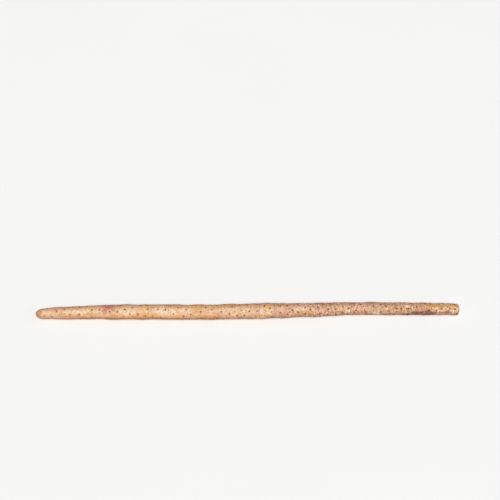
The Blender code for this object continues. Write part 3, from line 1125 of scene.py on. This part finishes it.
class YAM_OT_scars(bpy.types.Operator):
    """Adds the small scars of fine roots"""

    bl_idname = "yam.add_scars"
    bl_label = "Add Small Scars"

    def execute(self, context):
        look = context.scene.yam_roots
        material = wart_material("small root scar", context.scene.yam_colours)
        sizes = {"Gap": look.scar_gap, "Smallest": look.scar_radius * 0.5, "Largest": look.scar_radius}
        shape = {"Length": 1.3, "Flatness": 0.35, "Ragged": 0.5, "Seed": 21}
        add_bits("small_scars", small_wart, "growth", material, {**sizes, **shape})
        return {"FINISHED"}


class YAM_OT_rootlets(bpy.types.Operator):
    """Adds the thin dry rootlets that lie on the skin"""

    bl_idname = "yam.add_rootlets"
    bl_label = "Add Rootlets"

    def execute(self, context):
        look, shades = context.scene.yam_roots, context.scene.yam_colours
        draw = np.random.default_rng(5)
        along, turn, _ = nub_tops()
        kept = draw.random(len(along)) < 0.15 + 0.35 * along / LENGTH
        more = LENGTH * np.sqrt(draw.uniform(0.002, 0.98, look.rootlets))
        along = np.append(along[kept], more)
        turn = np.append(turn[kept], draw.uniform(*ROOTLET_TURNS, len(more)))
        values = {
            "Skin": bpy.data.objects["yam_body"],
            "Longest": look.rootlet_length,
            "Thickness": look.rootlet_thickness,
            "Seed": 5,
            "Material": dry_material("rootlet", shades.rootlet, shades.rootlet_dark, 0.0003, 0.75),
        }
        add_piece("rootlets", facing_points("rootlets", along, turn), rootlet_tree(), values)
        return {"FINISHED"}


class YAM_OT_flakes(bpy.types.Operator):
    """Adds the loose papery flakes of skin"""

    bl_idname = "yam.add_flakes"
    bl_label = "Add Skin Flakes"

    def execute(self, context):
        look, shades = context.scene.yam_litter, context.scene.yam_colours
        material = dry_material("loose skin flake", shades.flake, shades.flake_dark, 0.0004, 0.8)
        width = look.flake_size * 0.60
        sizes = {"Gap": look.flake_gap, "Smallest": width * 0.5, "Largest": width}
        shape = {"Length": 2.4, "Flatness": 0.16, "Ragged": 1.1, "Seed": 33}
        add_bits("skin_flakes", rounded_bit, "flaking", material, {**sizes, **shape})
        return {"FINISHED"}


class YAM_OT_soil(bpy.types.Operator):
    """Adds crumbs of soil, mostly in the creases"""

    bl_idname = "yam.add_soil"
    bl_label = "Add Soil"

    def execute(self, context):
        look, shades = context.scene.yam_litter, context.scene.yam_colours
        material = dry_material("soil", shades.soil, shades.soil_dark, 0.0002, 0.9)
        sizes = {"Gap": look.soil_gap, "Smallest": look.soil_size * 0.4, "Largest": look.soil_size}
        shape = {"Length": 1.4, "Flatness": 0.75, "Ragged": 0.9, "Seed": 44}
        add_bits("soil_crumbs", rounded_bit, "soil", material, {**sizes, **shape})
        return {"FINISHED"}


def soft_sun(name, strength, spread, place):
    """A wide soft light that shines evenly from the direction of a place."""
    data = bpy.data.lights.new(name, "SUN")
    data.energy = strength
    data.angle = math.radians(spread)
    light = new_object(name, data)
    light.location = place
    light.rotation_euler = (-light.location).to_track_quat("-Z", "Y").to_euler()


def studio_sky(look):
    """An even sky that lights softly, and that the camera sees as pale as the floor."""
    world = bpy.data.worlds.new("studio")
    world.use_nodes = True
    graph = Graph(world.node_tree)
    sky = graph.tree.nodes["Background"].inputs
    sky["Color"].default_value = (1.0, 1.0, 1.0, 1.0)
    seen = graph.add("ShaderNodeLightPath").outputs["Is Camera Ray"]
    graph.give(sky["Strength"], graph.band(seen, 0.0, 1.0, look.sky, look.seen_sky))
    return world


class YAM_OT_stage(bpy.types.Operator):
    """Adds the floor, the lights, the sky and the camera"""

    bl_idname = "yam.add_stage"
    bl_label = "Add Stage"

    def execute(self, context):
        look, scene = context.scene.yam_stage, context.scene
        data = bpy.data.meshes.new("floor")
        turns = np.linspace(0, 2 * np.pi, FLOOR_SIDES, endpoint=False)
        ring = np.stack([np.cos(turns), np.sin(turns), 0 * turns], axis=-1) * look.floor_radius
        data.from_pydata(ring.tolist(), [], [list(range(FLOOR_SIDES))])
        data.materials.append(floor_material(look))
        new_object("floor", data)

        soft_sun("key light", look.key, KEY_SPREAD, KEY_PLACE)
        soft_sun("side light", look.side, SIDE_SPREAD, SIDE_PLACE)
        scene.world = studio_sky(look)
        scene.view_settings.view_transform = "Standard"

        camera = new_object("camera", bpy.data.cameras.new("camera"))
        camera.data.lens = LENS
        camera.data.sensor_width = SENSOR_WIDTH
        camera.location = CAMERA_PLACE
        camera.rotation_euler = [math.radians(angle) for angle in CAMERA_TURN]
        scene.camera = camera
        return {"FINISHED"}


class YAM_PT_sidebar(bpy.types.Panel):
    """Lists the yam's settings and the buttons that add its pieces"""

    bl_idname = "YAM_PT_sidebar"
    bl_label = "Chinese Yam"
    bl_space_type = "VIEW_3D"
    bl_region_type = "UI"
    bl_category = "Yam"

    def draw(self, context):
        for group in SETTINGS:
            box = self.layout.box()
            for name in SETTINGS[group].__annotations__:
                box.prop(getattr(context.scene, group), name)
        for operator in OPERATORS:
            self.layout.operator(operator.bl_idname)


SETTINGS = {
    "yam_skin": YamSkinSettings,
    "yam_colours": YamColourSettings,
    "yam_roots": YamRootSettings,
    "yam_litter": YamLitterSettings,
    "yam_stage": YamStageSettings,
}
OPERATORS = (
    YAM_OT_skin,
    YAM_OT_warts,
    YAM_OT_scars,
    YAM_OT_rootlets,
    YAM_OT_flakes,
    YAM_OT_soil,
    YAM_OT_stage,
)


def register():
    for made in (*SETTINGS.values(), *OPERATORS, YAM_PT_sidebar):
        bpy.utils.register_class(made)
    for name, group in SETTINGS.items():
        setattr(bpy.types.Scene, name, bpy.props.PointerProperty(type=group))


def unregister():
    for name in SETTINGS:
        delattr(bpy.types.Scene, name)
    for made in (YAM_PT_sidebar, *reversed(OPERATORS), *reversed(list(SETTINGS.values()))):
        bpy.utils.unregister_class(made)


def main():
    register()
    bpy.ops.yam.add_skin()
    bpy.ops.yam.add_warts()
    bpy.ops.yam.add_scars()
    bpy.ops.yam.add_rootlets()
    bpy.ops.yam.add_flakes()
    bpy.ops.yam.add_soil()
    bpy.ops.yam.add_stage()


if __name__ == "__main__":
    main()
